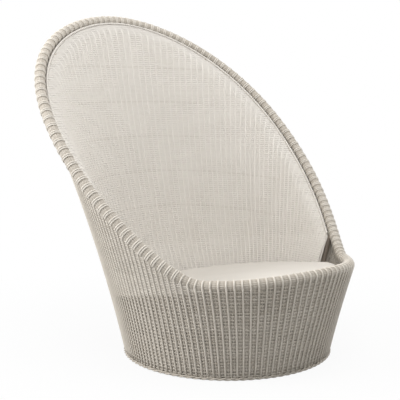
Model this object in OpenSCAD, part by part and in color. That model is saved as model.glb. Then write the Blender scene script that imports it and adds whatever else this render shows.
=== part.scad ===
// High-backed woven garden lounger: a flared basket of round synthetic cane
// over a bent tube frame, with a scooped inner back and a loose seat cushion.
// The front faces -Y, the sitter's left is +X, and the floor is z = 0.

/* [Basket shape] */
// Radius of the round foot of the basket
foot_r = 382; // [360:1:410]
// Height of the rim's centre line at the top of the back
rim_top_z = 1250; // [1180:5:1320]
// Height of the rim's centre line at the middle of the front
rim_front_z = 357; // [345:1:380]
// Drop of the rim from the middle of the front to the front corners
corner_dip = 21; // [5:1:30]
// Angle from the middle of the front to each front corner
corner_angle = 55; // [50:1:60]
// Straight outward lean of each side over the height of the back
side_lean = 195; // [160:1:230]
// Extra outward sweep of each side over the same height
side_sweep = 283; // [230:1:310]
// Growth of the half depth over the same height
depth_gain = 369; // [330:1:400]
// Straight backward shift of the basket's middle over the same height
middle_shift = 45; // [20:1:70]
// Forward curve of the basket's middle over the same height
middle_curve = 97; // [70:1:120]

/* [Weave] */
// Thickness of the woven skins
weave_t = 7; // [6:0.5:9]
// Height by which the main ribs stand out of the woven skins
rib_rise = 3; // [2:0.5:3.5]
// Width of a main rib at its base
rib_w = 8; // [6:0.5:12]
// Gap between the foot of the outer weave and the floor
weave_foot_z = 14; // [13:0.5:20]
// Radius of the round cord that borders the foot
foot_braid_r = 6; // [5:0.5:6]
// Radius of the wrapped rim over its tube
rim_wrap_r = 20; // [18:0.5:22]
// Angle beyond which the rim stands astride the wall; in front of it the rim draws in, flush with the wall
rim_astride_angle = 105; // [95:1:120]
// Radius of the rolled free edges of the inner back
edge_braid_r = 5; // [4:0.5:6]
// Height below the rim over which the inner back curves in from it
lip_drop = 52; // [45:1:55]
// Angle of the inner back's free edge where it leaves the rim
edge_top_angle = 74; // [72:1:76]
// Angle of the inner back's free edge at the seat
edge_foot_angle = 68; // [66:1:70]
// Extra distance that the inner back stands in from the wall at the seat
seat_inset = 24; // [10:1:35]
// Height above the seat over which that extra distance fades out
inset_fade = 150; // [120:5:180]

/* [Frame] */
// Radius of the rim tube
rim_tube_r = 14; // [12:0.5:15]
// Radius of the foot ring's tube
foot_ring_r = 12.5; // [11:0.5:14]
// Radius of the seat ring's tube
seat_ring_r = 11; // [9:0.5:12]
// Radius of the upright tubes
upright_r = 9; // [7:0.5:10]
// Radius of the back hoops
hoop_r = 7; // [6:0.5:8]
// Radius of the bars under the seat
seat_bar_r = 7; // [6:0.5:9]
// Wall of every tube
tube_wall = 2; // [1.5:0.25:3]
// Height from the highest hoop's ends to the rim over the back uprights
hoop_drop = 70; // [65:1:90]
// Height from one back hoop to the next
hoop_pitch = 142; // [130:1:146]
// Drop of each hoop from the middle of the back towards the front
hoop_droop = 60; // [30:1:70]
// Distance between the bars under the seat
seat_bar_pitch = 190; // [150:5:230]

/* [Seat] */
// Height of the top of the woven seat at the basket's middle
seat_z = 234; // [228:1:242]
// Fall of the seat towards the back, as a share of the way back
seat_fall_share = 0.14; // [0.1:0.01:0.16]
// Thickness of the cushion at its side
cushion_side = 44; // [38:1:48]
// Extra height of the cushion's crown
cushion_crown = 9; // [4:1:14]
// Thickness of the cushion's cover
cover_t = 2.5; // [2:0.5:4]
// Clearance from the cushion to the frame and the inner back
cushion_gap = 4; // [2:0.5:8]

/* [Feet] */
// Height of the glides under the foot ring
glide_h = 6; // [5:0.5:8]
// Radius of the glides
glide_r = 11; // [10:0.5:12]
// Radius of the glide screws
screw_r = 2; // [1.5:0.25:2.5]
// Radius of the screw heads
screw_head_r = 4; // [3.5:0.25:5]
// Number of glides
glide_count = 6; // [4:1:8]

/* [Hidden] */

// Clearance between flat neighbours and in fitted layers
fit_gap = 0.3;
// Clearance between curved layers that lie on each other
layer_gap = 0.9;
// Clearance between the outer weave and the uprights that it hangs on
skin_gap = 1.2;
// Clearance between crossing tubes at their welds
weld_gap = 0.4;
// Radial clearance of a screw in its hole
screw_gap = 0.1;
// Length by which a cutter runs past what it cuts
overrun = 5;
// Powers of the curve by which the rim rises from the front corners to the top
rise_power = 1.63;
round_power = 1.92;
// Angles of the uprights, in pairs about the middle
front_angle = 30;
side_angle = 75;
arm_angle = 110;
back_angle = 150;
// Steps in which a sloping plane's meeting with the wall is found
slope_steps = 6;
// Number of hoops that stop at the back uprights; the ones below them reach the arm uprights
short_hoops = 3;
// Angle by which a hoop runs past its last upright
hoop_tail_angle = 2;
// Angle between the columns and stations of the swept pieces
column_angle = 5;
// Rows of the skins, from foot to rim, and how closely the inner ones crowd towards the rim
outer_rows = 7;
inner_rows = 8;
crowd_power = 1.4;
// Columns from one main rib to the next
rib_every = 2;
// Greatest length between the stations of an upright, and stations along the inner back's free edge
upright_step = 100;
edge_steps = 6;
// Stations of the rim on each side of an upright's cope
cope_reach = 2;
// Sides of the rim's wrapping, the tubes, the slim bars and the tubes' bores
wrap_sides = 12;
tube_sides = 10;
slim_sides = 8;
bore_sides = 6;
// Angle between the corners of the cushion's plan
cushion_step_angle = 9;

weave_grey = [0.72, 0.69, 0.65];
cane_light = [0.84, 0.82, 0.79];
frame_taupe = [0.52, 0.48, 0.43];
cushion_white = [0.90, 0.88, 0.85];
foam_cream = [0.93, 0.90, 0.80];
glide_black = [0.13, 0.13, 0.13];
steel_grey = [0.70, 0.70, 0.71];

// Basket surface: an ellipse at every height, whose half axes and middle follow the height
function height_share(z) = z / rim_top_z;
function half_width(z) = foot_r + side_lean * height_share(z) + side_sweep * pow(height_share(z), 2);
function half_depth(z) = foot_r + depth_gain * height_share(z);
function shift_y(z) = middle_shift * height_share(z) - middle_curve * pow(height_share(z), 2);
// Outward lean of the surface, and how much wider a level cut through a layer is than the layer
function lean(a, z) = ((side_lean + 2 * side_sweep * height_share(z)) * pow(sin(a), 2)
    + depth_gain * pow(cos(a), 2)
    - (middle_shift - 2 * middle_curve * height_share(z)) * cos(a)) / rim_top_z;
function stretch(a, z) = sqrt(1 + pow(lean(a, z), 2));
front_reach = half_depth(rim_front_z) - shift_y(rim_front_z) - rim_wrap_r * stretch(0, rim_front_z);
back_reach = half_depth(rim_top_z) + shift_y(rim_top_z);
// Middle of the foot, which puts the whole chair's box about the origin
foot_y = (front_reach - back_reach) / 2;
// Point of the basket at angle a from the front, at height z, square in from the surface by off
function wall(a, z, off = 0) =
    let (level_off = off * stretch(a, z))
    [(half_width(z) - level_off) * sin(a), foot_y + shift_y(z) - (half_depth(z) - level_off) * cos(a), z];

// Rim: low across the front, then rising in one curve to the top of the back
function fold_angle(a) = abs(a) > 180 ? 360 - abs(a) : abs(a);
function past_corner(b) = max(0, (b - corner_angle) / (180 - corner_angle));
function rise_share(b) = 1 - pow(1 - pow(past_corner(b), rise_power), round_power);
function dip_share(b) = pow(sin(90 * min(1, b / corner_angle)), 2);
function rim_at(b) = rim_front_z - corner_dip * dip_share(b)
    + (rim_top_z - rim_front_z + corner_dip) * rise_share(b);
function rim_z(a) = rim_at(fold_angle(a));
function smooth(u) = u * u * (3 - 2 * u);
function drawn_share(b) =
    smooth(min(1, max(0, (rim_astride_angle - b) / (rim_astride_angle - corner_angle))));
// How far in from the wall's outer surface the rim's centre line runs
function rim_inset(a) = rim_wrap_r * drawn_share(fold_angle(a));
function rim_point(a) = wall(a, rim_z(a), rim_inset(a));
function flat_gap(p, q) = norm([p.x - q.x, p.y - q.y]);
function rim_slope(a) = abs(rim_z(a + 1) - rim_z(a - 1)) / flat_gap(rim_point(a + 1), rim_point(a - 1));
// The wall ends where its inner face meets the underside of the rim
function rim_overhang(a) = max(0, rim_inset(a) - weave_t);
function overhang_drop(a) = rim_overhang(a) * lean(a, rim_z(a)) / stretch(a, rim_z(a));
function under_rim(a) = rim_z(a) - overhang_drop(a)
    - sqrt((pow(rim_wrap_r + layer_gap, 2) - pow(rim_overhang(a), 2)) * (1 + pow(rim_slope(a), 2)));

// Layers from the outside in, each given as the distance of its axis or face in from the surface
upright_off = weave_t + skin_gap + upright_r;
inside_uprights = upright_off + upright_r + weld_gap;
seat_ring_off = inside_uprights + seat_ring_r;
hoop_off = inside_uprights + hoop_r;
panel_off = inside_uprights + 2 * hoop_r + layer_gap;
function lip_off(a) = rim_inset(a) + rim_wrap_r + layer_gap;
foot_ring_z = glide_h + fit_gap + foot_ring_r;
foot_ring_R = half_width(foot_ring_z) - weave_t - layer_gap - foot_ring_r;
foot_braid_R = foot_ring_R + glide_r + layer_gap + foot_braid_r;

// Seat: a plane that falls towards the back; heights of layers under it are given at the basket's middle
seat_tilt = atan(seat_fall_share);
seat_mid_y = foot_y + shift_y(seat_z);
seat_weave_z = seat_z - weave_t / cos(seat_tilt);
seat_ring_z = seat_weave_z - (fit_gap + seat_ring_r) / cos(seat_tilt);
function fallen(mid_z, y) = mid_z - seat_fall_share * (y - seat_mid_y);
// Height at which a sloping plane meets the layer at off, found in a few steps
function meeting_z(a, mid_z, off, z, steps) =
    steps == 0 ? z : meeting_z(a, mid_z, off, fallen(mid_z, wall(a, z, off).y), steps - 1);
function sloping_z(a, mid_z, off) = meeting_z(a, mid_z, off, mid_z, slope_steps);
function sloping(a, mid_z, off) = wall(a, sloping_z(a, mid_z, off), off);

// Inner back: hugs the rim at its lip, then stands on the hoops, and comes farther in at the seat
function lip_share(a, z) = 1 - pow(1 - min(1, max(0, rim_z(a) - z) / lip_drop), 2);
back_foot_off = panel_off + seat_inset;
// The foot clears the seat at the face of the inner back that meets it higher up
function back_foot_z(a) =
    max(sloping_z(a, seat_z, back_foot_off), sloping_z(a, seat_z, back_foot_off + weave_t)) + fit_gap;
function inset_share(a, z) = min(1, max(0, 1 - (z - back_foot_z(a)) / inset_fade));
function back_off(a, z) =
    lip_off(a) + (panel_off - lip_off(a) + seat_inset * inset_share(a, z)) * lip_share(a, z);
edge_foot_z = back_foot_z(edge_foot_angle);
edge_top_z = rim_z(edge_top_angle);
function edge_share(z) = min(1, max(0, (z - edge_foot_z) / (edge_top_z - edge_foot_z)));
function edge_angle(z) = edge_foot_angle + (edge_top_angle - edge_foot_angle) * edge_share(z);

function unit(v) = v / norm(v);
function ring_at(p, t, ref, r, sides) =
    let (n = unit(ref - t * (ref * t)), b = cross(t, n))
    [for (k = [0:sides - 1]) p + r * (cos(360 * k / sides) * n + sin(360 * k / sides) * b)];
function outward(a) = [sin(a), -cos(a), 0];

// Swept solid through a list of rings, closed on itself or with flat ends
module loft(rings, closed) {
    s = len(rings[0]);
    m = len(rings);
    spans = closed ? m : m - 1;
    sides = [for (i = [0:spans - 1], k = [0:s - 1])
        let (i2 = (i + 1) % m, k2 = (k + 1) % s)
        each [[i * s + k, i2 * s + k, i2 * s + k2], [i * s + k, i2 * s + k2, i * s + k2]]];
    ends = closed ? [] : [[for (k = [0:s - 1]) k], [for (k = [s - 1:-1:0]) (m - 1) * s + k]];
    polyhedron(points = [for (ring = rings) each ring], faces = concat(sides, ends), convexity = 8);
}

function tangent(path, i, closed) =
    let (m = len(path))
    unit(closed ? path[(i + 1) % m] - path[(i + m - 1) % m] : path[min(m - 1, i + 1)] - path[max(0, i - 1)]);

// Round bar along a path; refs hold the direction of each ring's first corner
module bar(path, refs, r, sides, closed) {
    loft([for (i = [0:len(path) - 1]) ring_at(path[i], tangent(path, i, closed), refs[i], r, sides)], closed);
}

function stretched(path) =
    let (m = len(path))
    concat([path[0] + overrun * unit(path[0] - path[1])],
        [for (i = [1:m - 2]) path[i]],
        [path[m - 1] + overrun * unit(path[m - 1] - path[m - 2])]);

// Sheet between an outer and an inner grid of points, closed round the basket or with free edges
module sheet(outer, inner, closed) {
    m = len(outer);
    c = len(outer[0]);
    n = m * c;
    spans = closed ? m : m - 1;
    faces = [for (i = [0:spans - 1], j = [0:c - 2])
        let (i2 = (i + 1) % m, p = i * c + j, q = i2 * c + j)
        each [[p, p + 1, q + 1], [p, q + 1, q], [n + p, n + q + 1, n + p + 1], [n + p, n + q, n + q + 1]]];
    rims = [for (i = [0:spans - 1])
        let (p = i * c, q = ((i + 1) % m) * c, pt = p + c - 1, qt = q + c - 1)
        each [[p, q, n + q], [p, n + q, n + p], [pt, n + qt, qt], [pt, n + pt, n + qt]]];
    last = (m - 1) * c;
    edges = closed ? [] : [for (j = [0:c - 2])
        each [[j, n + j + 1, j + 1], [j, n + j, n + j + 1],
            [last + j, last + j + 1, n + last + j + 1], [last + j, n + last + j + 1, n + last + j]]];
    polyhedron(points = concat([for (col = outer) each col], [for (col = inner) each col]),
        faces = concat(faces, rims, edges), convexity = 8);
}

round_angles = [for (a = [0:column_angle:360 - column_angle]) a];
rim_path = [for (a = round_angles) rim_point(a)];
rim_refs = [for (a = round_angles) outward(a)];

module rim_tube() {
    color(frame_taupe)
    difference() {
        bar(rim_path, rim_refs, rim_tube_r, tube_sides, true);
        bar(rim_path, rim_refs, rim_tube_r - tube_wall, bore_sides, true);
    }
}

module rim_wrap() {
    color(cane_light)
    difference() {
        bar(rim_path, rim_refs, rim_wrap_r, wrap_sides, true);
        bar(rim_path, rim_refs, rim_tube_r + fit_gap, tube_sides, true);
    }
}

module round_glide_places() {
    translate([0, foot_y, 0])
    for (i = [0:glide_count - 1])
        rotate([0, 0, 360 * (i + 0.5) / glide_count])
            translate([0, -foot_ring_R, 0])
                children();
}

// The screws run up into the middle of the foot ring's tube
screw_top_z = foot_ring_z;
module foot_ring() {
    color(frame_taupe)
    difference() {
        translate([0, foot_y, foot_ring_z])
            rotate_extrude($fn = 96)
                translate([foot_ring_R, 0, 0])
                    difference() {
                        circle(r = foot_ring_r, $fn = 32);
                        circle(r = foot_ring_r - tube_wall, $fn = 32);
                    }
        round_glide_places()
            cylinder(r = screw_r + screw_gap, h = screw_top_z, $fn = 24);
    }
}

module seat_ring() {
    path = [for (a = round_angles) sloping(a, seat_ring_z, seat_ring_off)];
    color(frame_taupe)
    difference() {
        bar(path, rim_refs, seat_ring_r, tube_sides, true);
        bar(path, rim_refs, seat_ring_r - tube_wall, bore_sides, true);
    }
}

// Stretch of the wrapped rim above an upright, as the space that the upright's end is coped round
module rim_envelope(a) {
    angles = [for (k = [-cope_reach:cope_reach]) (round(a / column_angle) + k) * column_angle];
    bar([for (b = angles) rim_point(b)], [for (b = angles) outward(b)],
        rim_wrap_r + fit_gap, wrap_sides, false);
}

// One upright: a tube from the foot ring up the inside of the wall, coped to the ring and to the rim
module upright(a) {
    foot = foot_ring_z + foot_ring_r / 2;
    top = rim_z(a) - rim_wrap_r * 3 / 4 * sqrt(1 + pow(rim_slope(a), 2)) - upright_r * rim_slope(a);
    steps = ceil((top - foot) / upright_step);
    zs = [for (i = [0:steps]) foot + (top - foot) * i / steps];
    path = [for (z = zs) wall(a, z, upright_off)];
    refs = [for (z = zs) outward(a)];
    color(frame_taupe)
    difference() {
        bar(path, refs, upright_r, tube_sides, false);
        bar(stretched(path), refs, upright_r - tube_wall, bore_sides, false);
        translate([0, foot_y, foot_ring_z])
            rotate_extrude($fn = 96)
                translate([foot_ring_R, 0, 0])
                    circle(r = foot_ring_r + fit_gap, $fn = 32);
        rim_envelope(a);
    }
}

// One back hoop, round the back from upright to upright, counted from the highest
module back_hoop(number) {
    mid_z = rim_z(back_angle) - hoop_drop + hoop_droop * (1 + cos(back_angle)) - hoop_pitch * (number - 1);
    first = number > short_hoops ? arm_angle : back_angle;
    angles = concat([first - hoop_tail_angle], [for (a = [first:column_angle:360 - first]) a],
        [360 - first + hoop_tail_angle]);
    color(frame_taupe)
    bar([for (a = angles) wall(a, mid_z - hoop_droop * (1 + cos(a)), hoop_off)],
        [for (a = angles) outward(a)], hoop_r, slim_sides, false);
}

// Places what is drawn level on the underside of the woven seat
module under_seat() {
    translate([0, seat_mid_y, seat_weave_z])
        rotate([-seat_tilt, 0, 0])
            children();
}

// One bar under the seat, from side to side inside the seat ring; place counts bars back from the middle
module seat_bar(place) {
    inner_off = seat_ring_off + seat_ring_r + layer_gap;
    y = place * seat_bar_pitch;
    // the corner of the bar's end that lies farthest from the middle comes nearest to the ring
    corner_y = seat_mid_y + y + sign(place) * seat_bar_r;
    z = fallen(seat_ring_z, corner_y);
    corner = acos((foot_y + shift_y(z) - corner_y) / (half_depth(z) - inner_off));
    reach = wall(corner, z, inner_off).x;
    color(frame_taupe)
    under_seat()
        translate([0, y / cos(seat_tilt) + (fit_gap + seat_bar_r) * tan(seat_tilt), -fit_gap - seat_bar_r])
            rotate([0, 90, 0])
                cylinder(r = seat_bar_r, h = 2 * reach, center = true, $fn = 32);
}

// Columns of a skin, each as its station and its side: 0 on the station, -1 and 1 beside a main rib
function is_rib(i, shift) = (i + shift) % rib_every == 0;
function rib_columns(last, shift) =
    [for (i = [0:last]) each is_rib(i, shift) ? [[i, -1], [i, 0], [i, 1]] : [[i, 0]]];
function rib_half_angle(z) = rib_w / 2 / half_width(z) * 180 / PI;
function mix(p, q, share) = p + (q - p) * share;

// Top of an outer column: beside a station it stays on the straight line to the next one, as the rim does
function outer_top(i, side) =
    let (a = i * column_angle, share = abs(side) * rib_half_angle(rim_z(a)) / column_angle)
    mix(under_rim(a), under_rim(a + side * column_angle), share);
function outer_column(c, off) =
    [for (j = [0:outer_rows])
        let (z = mix(weave_foot_z, outer_top(c[0], c[1]), j / outer_rows))
        wall(c[0] * column_angle + c[1] * rib_half_angle(z), z, off)];

module outer_weave() {
    columns = rib_columns(len(round_angles) - 1, 0);
    color(weave_grey)
    sheet([for (c = columns) outer_column(c, is_rib(c[0], 0) && c[1] == 0 ? 0 : rib_rise)],
        [for (c = columns) outer_column(c, weave_t)], true);
}

// An even number of columns, with a main rib on every other one and none on the free edges
inner_columns = 2 * round((360 - 2 * edge_foot_angle) / column_angle / 2);
// Angle of column i of the inner back at height z: the free edges lean, the middle stands upright
function inner_angle(i, z) = edge_angle(z) + (360 - 2 * edge_angle(z)) * i / inner_columns;
function inner_top(i) = rim_z(inner_angle(i, edge_top_z));
function row_share(j) = 1 - pow(1 - j / inner_rows, crowd_power);
inner_spacing = (360 - 2 * edge_top_angle) / inner_columns;
function inner_column_top(i, side) =
    mix(inner_top(i), inner_top(i + side), abs(side) * rib_half_angle(edge_top_z) / inner_spacing);
function inner_column_foot(i, side) =
    back_foot_z(inner_angle(i, edge_foot_z) + side * rib_half_angle(edge_foot_z));
function inner_column(c, depth) =
    [for (j = [0:inner_rows])
        let (z = mix(inner_column_foot(c[0], c[1]), inner_column_top(c[0], c[1]), row_share(j)),
            a = inner_angle(c[0], z) + c[1] * rib_half_angle(z))
        wall(a, z, back_off(a, z) + depth)];

module inner_back_weave() {
    columns = rib_columns(inner_columns, 1);
    color(cane_light)
    sheet([for (c = columns) inner_column(c, 0)],
        [for (c = columns) inner_column(c, is_rib(c[0], 1) && c[1] == 0 ? weave_t : weave_t - rib_rise)],
        false);
}

// Rolled free edge of the inner back, from the seat up to the rim; side is 1 on the left, -1 on the right
function braid_angle(z) = edge_angle(z) - (edge_braid_r + layer_gap) / half_width(z) * 180 / PI;
function braid_off(z) = back_off(edge_angle(z), z) + weave_t / 2;
module edge_braid(side) {
    foot = edge_foot_z + edge_braid_r / 2 + edge_braid_r * seat_fall_share;
    top = edge_top_z - rim_wrap_r;
    zs = [for (i = [0:edge_steps]) foot + (top - foot) * i / edge_steps];
    color(cane_light)
    bar([for (z = zs) wall(side * braid_angle(z), z, braid_off(z))],
        [for (z = zs) outward(side * braid_angle(z))], edge_braid_r, slim_sides, false);
}

module seat_weave() {
    color(cane_light)
    under_seat()
        linear_extrude(height = weave_t)
            polygon([for (a = round_angles)
                let (p = sloping(a, seat_weave_z, inside_uprights))
                [p.x, (p.y - seat_mid_y) / cos(seat_tilt)]]);
}

module foot_braid() {
    color(weave_grey)
    translate([0, foot_y, weave_foot_z - fit_gap - foot_braid_r])
        rotate_extrude($fn = 96)
            translate([foot_braid_R, 0, 0])
                circle(r = foot_braid_r, $fn = 24);
}

module glides() {
    color(glide_black)
    round_glide_places()
        difference() {
            cylinder(r = glide_r, h = glide_h, $fn = 48);
            translate([0, 0, -overrun])
                cylinder(r = screw_r + screw_gap, h = glide_h + 2 * overrun, $fn = 24);
            translate([0, 0, -overrun])
                cylinder(r = screw_head_r + screw_gap, h = overrun + glide_h / 2, $fn = 32);
        }
}

module glide_screws() {
    head_foot = glide_h / 4;
    color(steel_grey)
    round_glide_places() {
        translate([0, 0, head_foot])
            cylinder(r = screw_head_r, h = glide_h / 2 - head_foot, $fn = 32);
        translate([0, 0, head_foot])
            cylinder(r = screw_r, h = screw_top_z - head_foot, $fn = 24);
    }
}

// Cushion: fills the seat from the front uprights to the inner back
cushion_z = seat_z + fit_gap / cos(seat_tilt);
cushion_front_off = inside_uprights + cushion_gap;
cushion_back_off = back_foot_off + weave_t + cushion_gap;
// Angle in front of the inner back's free edge over which the cushion's outline draws in
cushion_blend_angle = 14;
function blend_share(a) =
    smooth(min(1, max(0, (fold_angle(a) - edge_foot_angle + cushion_blend_angle) / cushion_blend_angle)));
function cushion_edge_off(a) = cushion_front_off + (cushion_back_off - cushion_front_off) * blend_share(a);
// Side of the cushion from the edge of its underside to the edge of its top:
// how far in from the edge, as shares of the side's height, and how high up that height
side_profile_shares = [[0.40, 0], [0.10, 0.07], [0, 0.25], [0.06, 0.5], [0, 0.75], [0.10, 0.93], [0.40, 1]];
// Crown of the cushion: how far out from its middle, and how much of the crown's height
crown_shares = [[0.90, 0.35], [0.75, 0.62], [0.5, 0.88], [0.25, 0.97], [0.05, 1]];
cushion_angles = [for (a = [0:cushion_step_angle:360 - cushion_step_angle]) a];

// Ring of the cushion that keeps the seat's slope; mid_z is its height at the basket's middle
function plan_ring(inset, share, mid_z) =
    [for (a = cushion_angles)
        let (p = sloping(a, seat_z, cushion_edge_off(a) + inset),
            y = seat_mid_y + (p.y - seat_mid_y) * share)
        [p.x * share, y, fallen(mid_z, y)]];

// Pillow shape, smaller by skin all round
module pillow(skin) {
    foot = cushion_z + skin;
    side = cushion_side - 2 * skin;
    edge_inset = skin + side_profile_shares[0][0] * cushion_side;
    loft(concat(
        [for (s = side_profile_shares) plan_ring(skin + s[0] * cushion_side, 1, foot + s[1] * side)],
        [for (c = crown_shares) plan_ring(edge_inset, c[0], foot + side + c[1] * cushion_crown)]), false);
}

module cushion_cover() {
    color(cushion_white)
    difference() {
        pillow(0);
        pillow(cover_t);
    }
}

module cushion_foam() {
    color(foam_cream)
    pillow(cover_t + fit_gap);
}

rim_tube();
rim_wrap();
foot_ring();
seat_ring();
upright(-front_angle);  // upright_front_right
upright(front_angle);  // upright_front_left
upright(-side_angle);  // upright_side_right
upright(side_angle);  // upright_side_left
upright(-arm_angle);  // upright_arm_right
upright(arm_angle);  // upright_arm_left
upright(-back_angle);  // upright_back_right
upright(back_angle);  // upright_back_left
back_hoop(1);  // back_hoop_1
back_hoop(2);  // back_hoop_2
back_hoop(3);  // back_hoop_3
back_hoop(4);  // back_hoop_4
back_hoop(5);  // back_hoop_5
seat_bar(-1);  // seat_bar_front
seat_bar(0);  // seat_bar_middle
seat_bar(1);  // seat_bar_rear
outer_weave();
inner_back_weave();
seat_weave();
foot_braid();
edge_braid(-1);  // edge_braid_right
edge_braid(1);  // edge_braid_left
glides();
glide_screws();
cushion_cover();
cushion_foam();
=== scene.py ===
# %% [markdown]
# # A woven garden lounger
# The real chair is a bent tube frame with round synthetic cane woven over it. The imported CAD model
# is the fixed frame here, and every piece made below lies on it. It is loaded first, because each
# place and size that follows is taken from it.

# %% Load the frame
import math

import bpy
import numpy as np
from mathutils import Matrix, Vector


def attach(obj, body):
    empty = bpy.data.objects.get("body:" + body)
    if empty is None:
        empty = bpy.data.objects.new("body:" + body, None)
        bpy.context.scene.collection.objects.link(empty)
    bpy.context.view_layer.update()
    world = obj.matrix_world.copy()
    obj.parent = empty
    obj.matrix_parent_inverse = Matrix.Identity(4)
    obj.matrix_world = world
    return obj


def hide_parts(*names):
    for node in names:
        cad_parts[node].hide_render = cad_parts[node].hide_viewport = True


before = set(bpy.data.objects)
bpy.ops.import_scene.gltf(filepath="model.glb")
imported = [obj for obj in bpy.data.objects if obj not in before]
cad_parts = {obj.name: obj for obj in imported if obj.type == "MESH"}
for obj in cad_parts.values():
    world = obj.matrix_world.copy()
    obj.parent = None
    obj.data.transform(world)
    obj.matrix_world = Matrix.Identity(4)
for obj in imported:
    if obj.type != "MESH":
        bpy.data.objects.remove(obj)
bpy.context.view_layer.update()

# %% [markdown]
# ## The shape of the basket
# The wall is an ellipse at every height, and its half axes and middle follow the height. The rim is
# low across the front and then rises in one curve to the back. Across the front it lies flush with
# the wall, and along the sides it comes out astride of it. These are the numbers of the CAD source
# in metres, so a strand of cane that is laid with the same functions lies on the CAD wall with no
# fitting. Angles are degrees from the middle of the front, and grow towards +X.

# %% Basket wall
FOOT_R, RIM_TOP, RIM_FRONT = 0.382, 1.250, 0.357
CORNER_DIP, CORNER_ANGLE, ASTRIDE_ANGLE = 0.021, 55, 105
SIDE_LEAN, SIDE_SWEEP, DEPTH_GAIN = 0.195, 0.283, 0.369
MIDDLE_SHIFT, MIDDLE_CURVE = 0.045, 0.097
RISE_POWER, ROUND_POWER = 1.63, 1.92
RIM_R = 0.020


def half_width(z):
    """Half the wall's width at a height."""
    return FOOT_R + SIDE_LEAN * z / RIM_TOP + SIDE_SWEEP * (z / RIM_TOP) ** 2


def half_depth(z):
    """Half the wall's depth, front to back, at a height."""
    return FOOT_R + DEPTH_GAIN * z / RIM_TOP


def shift_y(z):
    """How far the wall's middle has moved back from the foot's middle at a height."""
    return MIDDLE_SHIFT * z / RIM_TOP - MIDDLE_CURVE * (z / RIM_TOP) ** 2


def stretch(angle, z):
    """How much wider a level cut through a layer of the leaning wall is than the layer."""
    s, c, h = np.sin(np.radians(angle)), np.cos(np.radians(angle)), z / RIM_TOP
    lean = ((SIDE_LEAN + 2 * SIDE_SWEEP * h) * s ** 2 + DEPTH_GAIN * c ** 2
            - (MIDDLE_SHIFT - 2 * MIDDLE_CURVE * h) * c) / RIM_TOP
    return np.sqrt(1 + lean ** 2)


FRONT_REACH = half_depth(RIM_FRONT) - shift_y(RIM_FRONT) - RIM_R * stretch(0, RIM_FRONT)
FOOT_Y = float(FRONT_REACH - half_depth(RIM_TOP) - shift_y(RIM_TOP)) / 2


def wall(angle, z, inset):
    """Point of the wall at an angle and a height, square in from the outer surface by inset."""
    angle, z, inset = np.broadcast_arrays(np.asarray(angle, float), np.asarray(z, float), inset)
    level = inset * stretch(angle, z)
    x = (half_width(z) - level) * np.sin(np.radians(angle))
    y = FOOT_Y + shift_y(z) - (half_depth(z) - level) * np.cos(np.radians(angle))
    return np.stack([x, y, z], -1)


def unit(v):
    """The same directions with length 1."""
    return v / np.linalg.norm(v, axis=-1, keepdims=True)


def distance_along(points):
    """How far each point of a line is from its first, measured along it."""
    return np.concatenate([[0], np.cumsum(np.linalg.norm(np.diff(points, axis=0), axis=1))])


NEAR_ANGLE, NEAR_Z = 0.1, 0.001


def square_to(surface, angle, z):
    """Outward direction square to a surface, from four points close to the place."""
    across = surface(angle + NEAR_ANGLE, z) - surface(angle - NEAR_ANGLE, z)
    up = surface(angle, z + NEAR_Z) - surface(angle, z - NEAR_Z)
    return unit(np.cross(across, up))


def wall_normal(angle, z, inset):
    """Outward direction square to a layer of the wall."""
    return square_to(lambda a, h: wall(a, h, inset), angle, z)


print("middle of the foot at y =", round(FOOT_Y, 4))

# %% Rim line
def fold(angle):
    """The angle as 0 to 180 degrees from the middle of the front, the same on both sides."""
    return np.abs((np.asarray(angle, float) + 180) % 360 - 180)


def rim_z(angle):
    """Height of the middle of the rim tube."""
    past = np.maximum(0, (fold(angle) - CORNER_ANGLE) / (180 - CORNER_ANGLE))
    rise = 1 - (1 - past ** RISE_POWER) ** ROUND_POWER
    dip = np.sin(np.pi / 2 * np.minimum(1, fold(angle) / CORNER_ANGLE)) ** 2
    return RIM_FRONT - CORNER_DIP * dip + (RIM_TOP - RIM_FRONT + CORNER_DIP) * rise


def drawn_share(angle):
    """1 across the front, where the rim is flush with the wall, and 0 where it is astride of it."""
    share = np.clip((ASTRIDE_ANGLE - fold(angle)) / (ASTRIDE_ANGLE - CORNER_ANGLE), 0, 1)
    return share ** 2 * (3 - 2 * share)


def rim_point(angle):
    """A point on the middle line of the rim tube."""
    return wall(angle, rim_z(angle), RIM_R * drawn_share(angle))


RIM_STEP = 0.5


def rim_slope(angle):
    """How much the rim rises for each metre that it runs level."""
    ahead, behind = rim_point(angle + RIM_STEP), rim_point(angle - RIM_STEP)
    x, y, z = np.moveaxis(ahead - behind, -1, 0)
    return np.abs(z) / np.hypot(x, y)


print("rim height at the front and at the top:", float(rim_z(0)), float(rim_z(180)))

# %% [markdown]
# ## The seat and the inner back
# The seat is a plane that falls towards the back, as on any chair for leaning back in. The second
# skin starts on the seat, rests against the hoops, and curves out to the rim at its lip, where its
# cane is drawn in close under the rim. It ends in a free edge on each side.

# %% Seat plane
SEAT_Z, SEAT_FALL, WEAVE_T, FIT_GAP = 0.234, 0.14, 0.007, 0.0003
SEAT_TILT = math.atan(SEAT_FALL)
SEAT_MID_Y = FOOT_Y + float(shift_y(SEAT_Z))
SLOPE_ROUNDS = 6


def fallen(mid_z, y):
    """Height at y of a plane that slopes as the seat does and is at mid_z over the basket's middle."""
    return mid_z - SEAT_FALL * (y - SEAT_MID_Y)


def sloping_z(angle, mid_z, inset):
    """Height at which such a plane meets the layer of the wall at inset, found in a few rounds."""
    z = mid_z + 0 * np.asarray(angle, float)
    for _ in range(SLOPE_ROUNDS):
        z = fallen(mid_z, wall(angle, z, inset)[..., 1])
    return z


print("the seat falls", round(math.degrees(SEAT_TILT), 2), "degrees to the back")

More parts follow.
